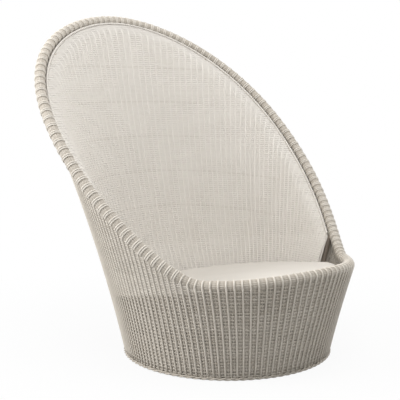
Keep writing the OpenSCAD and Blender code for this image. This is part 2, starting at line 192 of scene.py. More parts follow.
# %% Inner back surface
PANEL_INSET, LIP_CLEAR, LIP_DROP = 0.0415, 0.0209, 0.052
SEAT_INSET, INSET_FADE = 0.024, 0.150
EDGE_TOP_ANGLE, EDGE_FOOT_ANGLE = 74, 68
LIP_TUCK, LIP_BLEND = 0.0172, 0.042


def back_foot_z(angle):
    """Height at which the inner back stands on the seat, the higher of its two faces."""
    back_face = sloping_z(angle, SEAT_Z, PANEL_INSET + SEAT_INSET)
    front_face = sloping_z(angle, SEAT_Z, PANEL_INSET + SEAT_INSET + WEAVE_T)
    return FIT_GAP + np.maximum(back_face, front_face)


EDGE_TOP_Z = float(rim_z(EDGE_TOP_ANGLE))
EDGE_FOOT_Z = float(back_foot_z(EDGE_FOOT_ANGLE))


def back_inset(angle, z):
    """How far in from the wall's outer surface the back face of the inner back stands."""
    lip_inset = RIM_R * drawn_share(angle) + LIP_CLEAR
    share = 1 - (1 - np.clip((rim_z(angle) - z) / LIP_DROP, 0, 1)) ** 2
    fade = np.clip(1 - (z - back_foot_z(angle)) / INSET_FADE, 0, 1)
    return lip_inset + (PANEL_INSET - lip_inset + SEAT_INSET * fade) * share


def lip_z(angle):
    """Height at which the inner back ends, under the rim's inner side."""
    return rim_z(angle) - LIP_TUCK * np.sqrt(1 + rim_slope(angle) ** 2)


def dressed_inset(angle, z):
    """The inset of the cane on the inner back, whose lip is drawn in close under the rim."""
    lip_inset = back_inset(angle, lip_z(angle))
    hug = lip_inset - RIM_R * drawn_share(angle) - LIP_TUCK + WEAVE_T / 2
    below = (lip_z(angle) - z) / np.sqrt(1 + rim_slope(angle) ** 2) / LIP_BLEND
    return back_inset(angle, z) - hug * (1 - np.clip(below, 0, 1)) ** 2


def edge_angle(z):
    """Angle at which the inner back ends in its free edge at a height."""
    share = np.clip((z - EDGE_FOOT_Z) / (EDGE_TOP_Z - EDGE_FOOT_Z), 0, 1)
    return EDGE_FOOT_ANGLE + (EDGE_TOP_ANGLE - EDGE_FOOT_ANGLE) * share


print("free edge from z =", round(EDGE_FOOT_Z, 3), "to", round(EDGE_TOP_Z, 3))
print("inner back's foot at the back at z =", round(float(back_foot_z(180)), 3))

# %% [markdown]
# ## Camera
# The picture was taken from the front right of the sitter, with the camera at about hip height. The
# view was fitted to the outline, so the camera is given by its turn, its tilt and its distance from
# a point low in the chair. A small shift frames the chair as the photograph does.

# %% Camera
CAMERA_TURN, CAMERA_TILT = math.radians(-41.602), math.radians(8.501)
CAMERA_DISTANCE, LOOK_AT = 3.2036, Vector((0, 0.084 + FOOT_Y, 0.4725))
SENSOR_WIDTH, LENS, SHIFT_X, SHIFT_Y = 36, 76.39, -0.0306, 0.0542
towards = Vector((math.sin(CAMERA_TURN) * math.cos(CAMERA_TILT),
                  -math.cos(CAMERA_TURN) * math.cos(CAMERA_TILT), math.sin(CAMERA_TILT)))

bpy.ops.object.select_all(action="DESELECT")
bpy.ops.object.camera_add(location=LOOK_AT + CAMERA_DISTANCE * towards)
camera = bpy.context.object
camera.rotation_euler = (-towards).to_track_quat("-Z", "Y").to_euler()
camera.data.sensor_width = SENSOR_WIDTH
camera.data.lens = LENS
camera.data.shift_x, camera.data.shift_y = SHIFT_X, SHIFT_Y
bpy.context.scene.camera = camera
print("camera at", [round(v, 3) for v in camera.location])

# %% [markdown]
# ## Floor, world and lamps
# A studio picture on white. The light is soft and leaves the front in shade: it comes mostly from a
# large lamp above and one at the picture's left, and a weak one at the right fills in. To the camera
# the floor shines nearly white by itself, and takes only a faint shadow because a part of its colour
# is lit paper. That part is larger close to the chair. Inside the hollow foot the floor doesn't
# shine, or it would glow through the weave.

# %% Helpers for materials
def node(tree, kind, values=None, **settings):
    """Add a shader node, and set or wire its inputs by name."""
    made = tree.nodes.new(kind)
    for key, value in settings.items():
        setattr(made, key, value)
    for key, value in (values or {}).items():
        if isinstance(value, bpy.types.NodeSocket):
            tree.links.new(value, made.inputs[key])
        else:
            made.inputs[key].default_value = value
    return made


def empty_finish(name):
    """A new material with an empty node tree."""
    finish = bpy.data.materials.new(name)
    finish.use_nodes = True
    finish.node_tree.nodes.clear()
    return finish, finish.node_tree


def ranged(tree, value, low, high, to_low, to_high):
    """The value moved from one range to another, and held inside it."""
    ends = {"Value": value, "From Min": low, "From Max": high, "To Min": to_low, "To Max": to_high}
    return node(tree, "ShaderNodeMapRange", ends).outputs[0]


def maths(tree, operation, first, second, clamped=False):
    """A number made from two others."""
    made = node(tree, "ShaderNodeMath", {0: first, 1: second}, operation=operation, use_clamp=clamped)
    return made.outputs[0]


def blended(tree, share, first, second):
    """A colour between two others."""
    colours = {"Fac": share, "Color1": (*first, 1), "Color2": (*second, 1)}
    return node(tree, "ShaderNodeMixRGB", colours).outputs[0]


# nearly all of a noise lies in this span
NOISE_SPAN = (0.3, 0.7)


def noise(tree, coordinates, scale, detail, roughness=0.5):
    """A noise of the given size, as a number from 0 to 1."""
    values = {"Vector": coordinates, "Scale": scale, "Detail": detail, "Roughness": roughness}
    return node(tree, "ShaderNodeTexNoise", values).outputs["Fac"]


def object_place(tree):
    """Coordinates on the object, in metres."""
    return node(tree, "ShaderNodeTexCoord").outputs["Object"]


def bumped_surface(tree, values, height, strength, depth):
    """The usual surface shader with these values, and a bump of this depth from a height."""
    bump = node(tree, "ShaderNodeBump", {"Height": height, "Strength": strength, "Distance": depth})
    shader = node(tree, "ShaderNodeBsdfPrincipled", {**values, "Normal": bump.outputs[0]})
    node(tree, "ShaderNodeOutputMaterial", {"Surface": shader.outputs[0]})


def seen_directly(tree):
    """1 for rays that show the surface to the camera, straight or by a mirror or glass."""
    path = node(tree, "ShaderNodeLightPath")
    most = path.outputs["Is Camera Ray"]
    for ray in ("Is Glossy Ray", "Is Transmission Ray"):
        most = maths(tree, "MAXIMUM", most, path.outputs[ray])
    return most


# %% Floor
FLOOR_SIDE, PAPER = 40, 0.60
SHINE_NEAR, SHINE_FAR, NEAR_REACH, FAR_REACH = 0.93, 1.0, 0.45, 1.6
HOLLOW_FROM, HOLLOW_TO = FOOT_R - 0.012, FOOT_R - 0.004
paper, tree = empty_finish("studio_paper")
from_foot = node(tree, "ShaderNodeVectorMath", {0: object_place(tree), 1: (0, FOOT_Y, 0)},
                 operation="DISTANCE")
reach = from_foot.outputs["Value"]
shine = ranged(tree, reach, NEAR_REACH, FAR_REACH, SHINE_NEAR, SHINE_FAR)
outside = ranged(tree, reach, HOLLOW_FROM, HOLLOW_TO, 0, 1)
share = maths(tree, "MULTIPLY", maths(tree, "MULTIPLY", shine, outside), seen_directly(tree))
lit = node(tree, "ShaderNodeBsdfDiffuse", {"Color": (PAPER, PAPER, PAPER, 1)})
white = node(tree, "ShaderNodeEmission", {"Color": (1, 1, 1, 1), "Strength": 1.0})
mixed = node(tree, "ShaderNodeMixShader", {0: share, 1: lit.outputs[0], 2: white.outputs[0]})
node(tree, "ShaderNodeOutputMaterial", {"Surface": mixed.outputs[0]})

bpy.ops.object.select_all(action="DESELECT")
bpy.ops.mesh.primitive_plane_add(size=FLOOR_SIDE)
floor = bpy.context.object
floor.name = "floor"
floor.data.materials.append(paper)
print("floor:", [round(v, 1) for v in floor.dimensions])

# %% World
AIR = 0.42
world = bpy.data.worlds.new("studio_air")
bpy.context.scene.world = world
world.use_nodes = True
tree = world.node_tree
tree.nodes.clear()
air = node(tree, "ShaderNodeBackground", {"Color": (1, 1, 1, 1), "Strength": AIR})
backdrop = node(tree, "ShaderNodeBackground", {"Color": (1, 1, 1, 1), "Strength": 1.0})
shown = node(tree, "ShaderNodeMixShader", {0: seen_directly(tree), 1: air.outputs[0], 2: backdrop.outputs[0]})
node(tree, "ShaderNodeOutputWorld", {"Surface": shown.outputs[0]})
bpy.context.scene.view_settings.view_transform = "Standard"
print("strength of the world's light:", AIR)

# %% Lamps
LIT_POINT = Vector((0, 0, 0.5))


def soft_lamp(name, place, size, power):
    """A square lamp of a given size and power, turned to the middle of the chair."""
    bpy.ops.object.select_all(action="DESELECT")
    bpy.ops.object.light_add(type="AREA", location=place)
    lamp = bpy.context.object
    lamp.name = name
    lamp.data.size, lamp.data.energy = size, power
    lamp.rotation_euler = (LIT_POINT - Vector(place)).to_track_quat("-Z", "Y").to_euler()


soft_lamp("lamp_overhead", (-0.2, -1.0, 3.6), 2.8, 105)
soft_lamp("lamp_left", (-3.3, 1.7, 1.85), 2.4, 145)
soft_lamp("lamp_right", (3.3, -0.6, 0.9), 2.0, 36)

# %% [markdown]
# ## Cane
# Round synthetic cane has a whitewashed look: a pale coat over a browner core that shows in fine
# streaks along the strand. The streaks follow each strand because every strand carries its own
# coordinates in the attribute "grain" (how far along, and where round), and they are long because
# the noise is drawn out along it. A second attribute makes one length of cane a little paler or
# darker than the next, and it also carries painted shade: the outer wefts are painted darker below
# the seat's line, and the rim cords darker beside their loops and paler between them. Six finishes
# differ only in their colour, from the dull cords of the rim to the bright inner back.

# %% Cane finishes
STREAKS = (22, 420, 420)
CLOUD_SCALE, CLOUD_REACH = 9.0, 0.08
WEAR_FROM, WEAR_TO, MOST_WEAR = 0.42, 0.78, 0.55
CANE_SMOOTH, CANE_ROUGH, GRAIN_DEPTH = 0.50, 0.70, 0.0006


def cane_finish(name, pale, worn_and_shade):
    """Whitewashed cane: a pale coat, and a darker core that shows in streaks and serves as painted shade."""
    cane, tree = empty_finish(name)
    grain = node(tree, "ShaderNodeAttribute", attribute_name="grain").outputs["Vector"]
    tone_and_shade = node(tree, "ShaderNodeAttribute", attribute_name="tone_and_shade").outputs["Fac"]
    drawn_out = node(tree, "ShaderNodeVectorMath", {0: grain, 1: STREAKS}, operation="MULTIPLY")
    streak = noise(tree, drawn_out.outputs[0], 1.0, 3.0, 0.6)
    cloud = noise(tree, object_place(tree), CLOUD_SCALE, 3.0)
    wear = ranged(tree, streak, WEAR_FROM, WEAR_TO, 0.0, MOST_WEAR)
    patch = ranged(tree, cloud, *NOISE_SPAN, -CLOUD_REACH, CLOUD_REACH)
    # the strand's tone moves the colour towards the core's, for random tone and for painted shade alike
    bare_and_shade = maths(tree, "SUBTRACT", maths(tree, "ADD", wear, patch), tone_and_shade, clamped=True)
    roughness = ranged(tree, streak, *NOISE_SPAN, CANE_SMOOTH, CANE_ROUGH)
    values = {"Base Color": blended(tree, bare_and_shade, pale, worn_and_shade), "Roughness": roughness,
              "Specular IOR Level": 0.35}
    bumped_surface(tree, values, streak, 0.35, GRAIN_DEPTH)
    return cane


cane_pale = cane_finish("cane_whitewashed", (0.555, 0.515, 0.455), (0.45, 0.405, 0.345))
cane_grey = cane_finish("cane_weathered_and_shaded", (0.63, 0.585, 0.52), (0.36, 0.315, 0.255))
cane_rim = cane_finish("cane_rim_cord", (0.47, 0.43, 0.375), (0.33, 0.29, 0.235))
cane_loop = cane_finish("cane_rim_loop", (0.61, 0.57, 0.51), (0.48, 0.435, 0.375))
cane_inside = cane_finish("cane_whitewashed_inner", (0.73, 0.695, 0.645), (0.63, 0.59, 0.535))
cane_inside_weft = cane_finish("cane_whitewashed_inner_weft", (0.71, 0.675, 0.625), (0.60, 0.56, 0.505))
cane_finishes = (cane_pale, cane_grey, cane_rim, cane_loop, cane_inside, cane_inside_weft)
print("cane finishes:", [finish.name for finish in cane_finishes])

# %% [markdown]
# ## How a strand is made
# A strand could be a curve with a bevel, but an oval one is hard to keep flat on a wall that bends
# both ways, and a curve can't carry coordinates for the streaks. So a strand is a row of rings
# threaded on a path, each ring turned to the wall, with its ends closed or joined. All strands of one
# kind then become one piece, or three where they are many, which is quick to make and light to handle.

# %% One strand
SEED, STREAK_START, ROUND_SIDES, FLAT_SIDES = 11, 50, 6, 4
rng = np.random.default_rng(SEED)


def tone_of(spread):
    """How much paler or darker than its finish one strand is."""
    return float(rng.uniform(-spread, spread))


def threaded(path, out, wide, thick, sides, closed, tone_and_shade):
    """Rings of one strand: half width wide along the wall and half thickness thick out of it."""
    m = len(path)
    tangent = unit(np.roll(path, -1, 0) - np.roll(path, 1, 0)) if closed else unit(np.gradient(path, axis=0))
    out = unit(out - tangent * (out * tangent).sum(-1, keepdims=True))
    side = np.cross(tangent, out)
    turn = 2 * np.pi * np.arange(sides) / sides
    outward = np.broadcast_to(thick, m)[:, None] * np.cos(turn)
    sideways = np.broadcast_to(wide, m)[:, None] * np.sin(turn)
    rings = path[:, None] + outward[..., None] * out[:, None] + sideways[..., None] * side[:, None]
    along = distance_along(path) + rng.uniform(0, STREAK_START)
    grain = np.stack([np.repeat(along, sides), outward.ravel(), sideways.ravel()], -1)
    i, k = np.arange(m if closed else m - 1)[:, None], np.arange(sides)[None]
    i2, k2 = (i + 1) % m, (k + 1) % sides
    faces = np.stack([i * sides + k, i * sides + k2, i2 * sides + k2, i2 * sides + k], -1).reshape(-1, 4)
    if not closed:
        cap = np.array([[0, a + 3, a + 2, a + 1] for a in range(0, sides - 3, 2)])
        faces = np.concatenate([faces, cap, (m - 1) * sides + cap[:, ::-1]])
    return rings.reshape(-1, 3), faces, np.repeat(np.broadcast_to(tone_and_shade, m), sides), grain


# %% Many strands in one piece
def mesh_of(name, points, faces, tone_and_shade, grain):
    """A smooth mesh of four-cornered faces with the two attributes that the cane finish reads."""
    mesh = bpy.data.meshes.new(name)
    mesh.vertices.add(len(points))
    mesh.vertices.foreach_set("co", points.astype(np.float32).ravel())
    mesh.loops.add(len(faces) * 4)
    mesh.loops.foreach_set("vertex_index", faces.astype(np.int32).ravel())
    mesh.polygons.add(len(faces))
    mesh.polygons.foreach_set("loop_start", np.arange(0, len(faces) * 4, 4, dtype=np.int32))
    mesh.update(calc_edges=True)
    mesh.polygons.foreach_set("use_smooth", np.ones(len(faces), bool))
    kept_tone = mesh.attributes.new("tone_and_shade", "FLOAT", "POINT")
    kept_tone.data.foreach_set("value", tone_and_shade.astype(np.float32))
    kept_grain = mesh.attributes.new("grain", "FLOAT_VECTOR", "POINT")
    kept_grain.data.foreach_set("vector", grain.astype(np.float32).ravel())
    return mesh


def cane_piece(name, strands, finish, replaced):
    """One object from many strands, each a tuple for threaded(), in place of one CAD node."""
    parts = [threaded(*strand) for strand in strands]
    first = np.cumsum([0] + [len(part[0]) for part in parts[:-1]])
    points, tone_and_shade, grain = (np.concatenate([part[k] for part in parts]) for k in (0, 2, 3))
    faces = np.concatenate([part[1] + start for part, start in zip(parts, first)])
    piece = bpy.data.objects.new(name, mesh_of(name, points, faces, tone_and_shade, grain))
    bpy.context.scene.collection.objects.link(piece)
    piece.data.materials.append(finish)
    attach(piece, "chair")
    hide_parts(replaced)
    print(name + ":", len(strands), "strands,", len(faces) * 2, "triangles")


def cane_pieces(name, count, strands, finish, replaced):
    """Several objects of about the same size from one long list of strands."""
    size = np.cumsum([len(strand[0]) for strand in strands])
    share = np.minimum(count - 1, (size - 1) * count // size[-1])
    for number in range(count):
        part = [strand for strand, place in zip(strands, share) if place == number]
        cane_piece(f"{name}_{number + 1}", part, finish, replaced)


# %% [markdown]
# ## Where the ribs run
# The stiff upright strands, the ribs, stand 15 to 20 mm apart at the foot of the wall and fan out to
# 26 to 36 mm at the rim, so that the same ribs serve the low front and the high back. Their places
# come from the photograph: RIM_PITCH is their pitch in metres along the rim at some angles, and
# FOOT_COUNT is how closely they stand at the foot, as the number that would go round.

# %% Rib places on the outer wall
RIM_PITCH = ((0, 0.0260), (25, 0.0268), (45, 0.0266), (55, 0.0255), (70, 0.0270), (85, 0.0275), (98, 0.0310),
             (112, 0.0360), (130, 0.0352), (145, 0.0350), (160, 0.0317), (180, 0.0285))
FOOT_COUNT = ((0, 118), (45, 119), (62, 124), (80, 130), (110, 155), (180, 158))
fine = np.linspace(0, 360, 7201)
rim_step = np.linalg.norm(np.diff(wall(fine, rim_z(fine), 0), axis=0), axis=1)
middle = (fine[1:] + fine[:-1]) / 2
rim_count = np.concatenate([[0], np.cumsum(rim_step / np.interp(fold(middle), *zip(*RIM_PITCH)))])
foot_count = np.concatenate([[0], np.cumsum(np.interp(fold(middle), *zip(*FOOT_COUNT)))])
RIBS = int(round(rim_count[-1]))
rim_count *= RIBS / rim_count[-1]
foot_count *= RIBS / foot_count[-1]


def rim_angle(rib):
    """Angle at which a rib meets the rim; halves are the ribs, whole numbers the stakes."""
    rib = np.asarray(rib, float)
    return np.interp(rib % RIBS, rim_count, fine) + 360 * (rib // RIBS)


def rib_angle(rib, z):
    """A rib stands at its foot angle on the floor and at its rim angle at the rim."""
    rib = np.asarray(rib, float)
    low = np.interp(rib % RIBS, foot_count, fine) + 360 * (rib // RIBS)
    high = rim_angle(rib)
    return low + (high - low) * z / rim_z(high)


print("ribs round the basket:", RIBS, "rim length:", round(float(rim_step.sum()), 3), "m")

# %% [markdown]
# ## Outer wall
# Three kinds of strand make the wall. The ribs are round, pale and always in front. Between them
# stands a thinner stake. The wefts, fine flat strands, run level round the basket behind the ribs,
# and pass the stakes in front in one row and behind in the next. They lie close together, so that
# only small dark holes are left beside the ribs and stakes. A bump on a plain wall could suggest
# all this, but it would look flat in low light and at the outline, so each strand is laid.
#
# In the photo the gaps between the ribs turn dark below a line that falls to the back about as the
# seat does, where the dark hollow under the seat shows through. Below it the wefts lie deeper behind
# the ribs and are painted darker, a painted shade for that hollow, and above it they are slack and
# come nearly level with them. A faint pale band runs round low on the wall.

# %% Outer wall: ribs and stakes
# each kind of upright: half width, half thickness, sides, spacing of its rings, spread of its tone
OUTER_RIB = (0.0036, 0.0036, ROUND_SIDES, 0.025, 0.10)
OUTER_STAKE = (0.0022, 0.0014, FLAT_SIDES, 0.030, 0.15)
RIB_INSET, STAKE_INSET = 0.0028, 0.0050
RIB_FOOT_Z, WALL_FOOT_Z = 0.010, 0.014
RIB_TUCK, RIB_TUCK_FRONT = 0.013, 0.004


def upright_strand(angle_at, foot_z, top_z, inset_at, kind):
    """A strand from foot to top; angle_at and inset_at give its place at each height."""
    wide, thick, sides, spacing, spread = kind
    count = max(3, int(math.ceil((top_z - foot_z) / spacing)) + 1)
    z = np.linspace(foot_z, top_z, count)
    angle = angle_at(z)
    inset = inset_at(angle, z)
    return wall(angle, z, inset), wall_normal(angle, z, inset), wide, thick, sides, False, tone_of(spread)


def rib_top(rib):
    """A rib ends inside the rim, just under its middle where the rim is flush with the wall."""
    angle = float(rim_angle(rib))
    tuck = RIB_TUCK + (RIB_TUCK_FRONT - RIB_TUCK) * float(drawn_share(angle))
    return float(rim_z(angle)) - tuck * math.sqrt(1 + float(rim_slope(angle)) ** 2)


def wall_upright(rib, foot_z, inset, kind):
    """A rib or stake of the outer wall, as deep at its top as at its foot."""
    return upright_strand(lambda z: rib_angle(rib, z), foot_z, rib_top(rib), lambda a, z: inset + 0 * z, kind)


ribs = [wall_upright(rib, RIB_FOOT_Z, RIB_INSET, OUTER_RIB) for rib in np.arange(RIBS) + 0.5]
stakes = [wall_upright(rib, WALL_FOOT_Z, STAKE_INSET, OUTER_STAKE) for rib in np.arange(RIBS)]
cane_piece("outer_ribs", ribs, cane_pale, "outer_weave")
cane_piece("outer_stakes", stakes, cane_grey, "outer_weave")

# %% Outer wall: how deep the wefts lie
# distance in from the surface behind a rib, beside it, at the stake, and beside the next rib
WEFT_OVER = (0.0060, 0.0042, 0.0030, 0.0042)
WEFT_UNDER = (0.0060, 0.0058, 0.0066, 0.0058)
SHADE_Z, SHADE_FALL, SHADE_SOFTNESS = 0.266, 0.19, 0.014


def quarter_insets(quarter, row):
    """The weft's inset at a count of quarter pitches: 0 is behind a rib, 2 at a stake."""
    return np.where(row % 2 == 0, np.take(WEFT_OVER, quarter % 4), np.take(WEFT_UNDER, quarter % 4))


def below_seat(points):
    """1 below the line where the wefts sink and get a painted shade, 0 above it, and in between close to it.
    """
    line_z = SHADE_Z - SHADE_FALL * (points[..., 1] - SEAT_MID_Y)
    return np.clip((line_z - points[..., 2]) / SHADE_SOFTNESS + 0.5, 0, 1)


print("at the seat's middle the gaps turn dark below z =", SHADE_Z)

# %% Outer wall: wefts
ROW_PITCH, WEFT_WIDE, WEFT_THICK = 0.0061, 0.0034, 0.0010
WEFT_THIN, THIN_ABOVE, WEFT_TUCK, WEFT_SPREAD = 0.0007, 0.345, 0.012, 0.10
# the last of these is a painted shade: how much darker the wefts are painted below the seat's line
SLACK_INSET, SLACK_RELIEF, SEAT_SHADE = 0.0026, 0.28, 0.34
BAND_Z, BAND_SOFTNESS, BAND_TONE = 0.190, 0.005, 0.30
FIRST_ROW_UP, LAST_ROW_DOWN, SHORTEST_ROW = 0.002, 0.020, 5


def outer_weft(row, z):
    """One level row: a closed ring below the front rim, and a stretch round the back above it."""
    quarters = np.arange(4 * RIBS)
    angle = rib_angle(0.5 + quarters / 4, z)
    keep = rim_z(angle) - WEFT_TUCK * np.sqrt(1 + rim_slope(angle) ** 2) > z
    closed = bool(keep.all())
    quarters, angle = quarters[keep], angle[keep]
    below = below_seat(wall(angle, z, 0))
    inset = quarter_insets(quarters, row)
    inset = SLACK_INSET + (inset - SLACK_INSET) * (SLACK_RELIEF + (1 - SLACK_RELIEF) * below)
    thick = WEFT_THIN if z > THIN_ABOVE else WEFT_THICK
    band = BAND_TONE * math.exp(-((z - BAND_Z) / BAND_SOFTNESS) ** 2)
    # the strand's tone holds its random tone, the pale band, and the painted shade below the seat's line
    return (wall(angle, z, inset), wall_normal(angle, z + 0 * angle, inset), WEFT_WIDE, thick, FLAT_SIDES,
            closed, tone_of(WEFT_SPREAD) + band - SEAT_SHADE * below)


outer_rows = np.arange(WALL_FOOT_Z + FIRST_ROW_UP, RIM_TOP - LAST_ROW_DOWN, ROW_PITCH)
rows = [outer_weft(row, z) for row, z in enumerate(outer_rows)]
wefts = [strand for strand in rows if len(strand[0]) > SHORTEST_ROW]
cane_pieces("outer_wefts", 3, wefts, cane_grey, "outer_weave")

# %% [markdown]
# ## Inner back
# The same weave, seen from its other side and beaten closer, so it looks nearly closed: its wefts
# are as pale as its ribs and stand only a little behind them. The ribs crowd together at the low
# sides and stand about 26 mm apart in the middle, so each rib leans a little outwards as it rises.
# Where a hoop presses on the weave from behind, the wefts look a little darker. Near the lip the
# skin turns outwards, so each weft is turned with it and made wider, and no gap opens under the rim.

# %% Inner back: where its ribs run
CROWD, EDGE_RIB = 0.3, 44.5
LAST_RIB = int(EDGE_RIB)
FAN_FOOT, FAN_RISE, FAN_COUNT = 97.5, 50, 360
SEARCH_FROM, HALVINGS = 0.1, 30


def fan_angle(number, z):
    """Degrees from the middle of the back of the rib with this number, before the edges are met."""
    scale = FAN_FOOT + FAN_RISE * np.asarray(z, float)
    return (-scale + np.sqrt(scale ** 2 + 4 * CROWD * FAN_COUNT * np.abs(number))) / (2 * CROWD)


def inner_rib_angle(number, z):
    """Angle of a rib at a height; the ribs are drawn together so that the edge is followed."""
    low = np.minimum(z, EDGE_TOP_Z)
    meets = (180 - edge_angle(low)) / fan_angle(EDGE_RIB, low)
    return 180 - np.sign(number) * fan_angle(number, z) * meets


def meeting_height(number, limit):
    """Height at which a rib meets a line round the basket, found by halving."""
    low, high = SEARCH_FROM, RIM_TOP
    for _ in range(HALVINGS):
        z = (low + high) / 2
        if z > limit(inner_rib_angle(number, z)):
            high = z
        else:
            low = z
    return low


print("inner ribs:", 2 * LAST_RIB + 1, "first edge at", float(inner_rib_angle(-EDGE_RIB, EDGE_FOOT_Z)))

# %% Inner back: ribs and stakes
INNER_RIB, INNER_RIB_DEPTH = (0.0029, 0.0020, ROUND_SIDES, 0.012, 0.06), 0.0042
INNER_STAKE, INNER_STAKE_DEPTH = (0.0022, 0.0014, FLAT_SIDES, 0.015, 0.10), 0.0022
FOOT_CLEAR, LIP_SHORT = 0.001, 0.002


def inner_upright(number, depth, kind):
    """A rib or stake of the inner back, from the seat to the lip."""
    foot = meeting_height(number, lambda a: back_foot_z(a) + FOOT_CLEAR)
    top = meeting_height(number, lambda a: lip_z(a) - LIP_SHORT)
    return upright_strand(lambda z: inner_rib_angle(number, z), foot, top,
                          lambda a, z: dressed_inset(a, z) + depth, kind)


inner_numbers = np.arange(-LAST_RIB, LAST_RIB + 1)
inner_ribs = [inner_upright(number, INNER_RIB_DEPTH, INNER_RIB) for number in inner_numbers]
inner_stakes = [inner_upright(number, INNER_STAKE_DEPTH, INNER_STAKE) for number in inner_numbers[:-1] + 0.5]
cane_piece("inner_ribs", inner_ribs, cane_inside, "inner_back_weave")
cane_piece("inner_stakes", inner_stakes, cane_inside_weft, "inner_back_weave")

# %% Inner back: lines of the hoops
HOOPS, HOOP_TONE, HOOP_SOFTNESS = 5, 0.55, 0.0035
HOOP_DROP, HOOP_PITCH, HOOP_DROOP = 0.070, 0.142, 0.060
BACK_UPRIGHT, ARM_UPRIGHT, SHORT_HOOPS = 150, 110, 3
HOOP_END_Z = rim_z(BACK_UPRIGHT) - HOOP_DROP
HOOP_MIDDLE_Z = HOOP_END_Z + HOOP_DROOP * (1 + math.cos(math.radians(BACK_UPRIGHT)))


def hoop_shade(angle, z):
    """How much darker the weave looks over the back hoops."""
    shade = 0 * angle
    for hoop in range(HOOPS):
        hoop_z = HOOP_MIDDLE_Z - HOOP_PITCH * hoop - HOOP_DROOP * (1 + np.cos(np.radians(angle)))
        reach = fold(angle) > (BACK_UPRIGHT if hoop < SHORT_HOOPS else ARM_UPRIGHT)
        shade = shade + HOOP_TONE * reach * np.exp(-((z - hoop_z) / HOOP_SOFTNESS) ** 2)
    return shade


print("highest hoop ends at z =", round(float(HOOP_END_Z), 3))

# %% Inner back: wefts
# depth into the inner back's thickness behind a rib and at the stake
INNER_OVER, INNER_UNDER = (0.0042, 0.0048), (0.0042, 0.0043)
INNER_PITCH, INNER_WEFT_WIDE, INNER_WEFT_THICK, INNER_SPREAD = 0.0041, 0.0026, 0.0006, 0.06
ROW_CLEAR, LEAST_LEAN = 0.002, 0.4
INNER_FIRST_UP, INNER_LAST_DOWN, SHORTEST_INNER_ROW = 0.004, 0.010, 4
lip_angles = np.linspace(EDGE_TOP_ANGLE, 180, 300)


def back_point(angle, z):
    """A point on the dressed back face of the inner back."""
    return wall(angle, z, dressed_inset(angle, z))


def inner_weft(row, z):
    """One level row of the inner back: from edge to edge, or from lip to lip above the edges."""
    halves = np.arange(-2 * LAST_RIB, 2 * LAST_RIB + 1)
    angle = inner_rib_angle(halves / 2, z)
    lip_angle = np.interp(z, lip_z(lip_angles), lip_angles, left=0)
    inside = fold(angle) > lip_angle
    keep = (inside | np.roll(inside, 1) | np.roll(inside, -1)) & (back_foot_z(angle) + ROW_CLEAR < z)
    halves, angle = halves[keep], np.clip(angle[keep], lip_angle, 360 - lip_angle)
    depth = np.where(row % 2 == 0, np.take(INNER_OVER, halves % 2), np.take(INNER_UNDER, halves % 2))
    out = square_to(back_point, angle, z + 0 * angle)
    lean = (out * wall_normal(angle, z + 0 * angle, 0)).sum(-1)
    path = back_point(angle, z + 0 * angle) - depth[:, None] * out
    return (path, out, INNER_WEFT_WIDE / np.clip(lean, LEAST_LEAN, 1), INNER_WEFT_THICK, FLAT_SIDES, False,
            tone_of(INNER_SPREAD) - hoop_shade(angle, z))


inner_rows = np.arange(float(back_foot_z(180)) + INNER_FIRST_UP, RIM_TOP - INNER_LAST_DOWN, INNER_PITCH)
rows = [inner_weft(row, z) for row, z in enumerate(inner_rows)]
wefts = [strand for strand in rows if len(strand[0]) > SHORTEST_INNER_ROW]
cane_pieces("inner_wefts", 3, wefts, cane_inside_weft, "inner_back_weave")

# %% [markdown]
# ## Rim
# The rim is a tube dressed with cords that run along it, held by pale loops. Across the front each
# rib seems to run up and over the rim, so there is one loop over each rib. Along the sides and round
# the back, where the rim stands astride of the wall, each loop is doubled. The cords sink under the
# loops and swell between them, and a painted shade makes them darker beside the loops and paler
# between, which gives the row of rounded cells. One tube with a bump could be painted so, but its
# outline would stay smooth, so cords and loops are laid one by one.

# %% Rim: cords along the tube
RIM_CORDS, CORD_RING, CORD_R, CORD_SPREAD = 16, 0.0140, 0.0040, 0.12
# swell of a cord, and its painted shade, under a loop, beside it, between two loops, and beside the
# next one: the shade darkens the cord in the creases by the loops and lightens it on the swell
CORD_SWELL = (-0.0010, -0.0002, 0.0006, -0.0002)
CORD_PAINTED_SHADE = (-0.4, -0.4, 0.1, -0.4)


def rim_frame(angle):
    """Point, tangent, outward and upward directions of the rim at an angle."""
    point = rim_point(angle)
    tangent = unit(rim_point(angle + RIM_STEP) - rim_point(angle - RIM_STEP))
    a = np.radians(np.asarray(angle, float))
    level = np.stack([np.sin(a), -np.cos(a), 0 * a], -1)
    out = unit(level - tangent * (level * tangent).sum(-1, keepdims=True))
    return point, tangent, out, np.cross(tangent, out)


quarters = np.arange(4 * RIBS)
point, tangent, out, up = rim_frame(rim_angle(0.5 + quarters / 4))
swell = np.take(CORD_SWELL, quarters % 4)
# painted shade of the cords: darker in the creases beside each loop, paler on the swell between
cord_painted_shade = np.take(CORD_PAINTED_SHADE, quarters % 4)
cords = []
for number in range(RIM_CORDS):
    turn = 2 * math.pi * (number + 0.5) / RIM_CORDS
    direction = math.cos(turn) * out + math.sin(turn) * up
    cords.append((point + (CORD_RING + swell)[:, None] * direction, direction, CORD_R, CORD_R, ROUND_SIDES,
                  True, cord_painted_shade + tone_of(CORD_SPREAD)))
cane_piece("rim_cords", cords, cane_rim, "rim_wrap")

# %% Rim: loops
LOOP_RING, LOOP_WIDE, LOOP_THICK, LOOP_STEPS = 0.0180, 0.0034, 0.0028, 16
TWIN_APART, LOOP_SPREAD, FLUSH_SHARE = 0.0037, 0.06, 0.9
loop_turns = 2 * np.pi * np.arange(LOOP_STEPS) / LOOP_STEPS


def loop(centre, direction):
    """A ring of cane round the rim."""
    return (centre + LOOP_RING * direction, direction, LOOP_WIDE, LOOP_THICK, ROUND_SIDES, True,
            tone_of(LOOP_SPREAD))


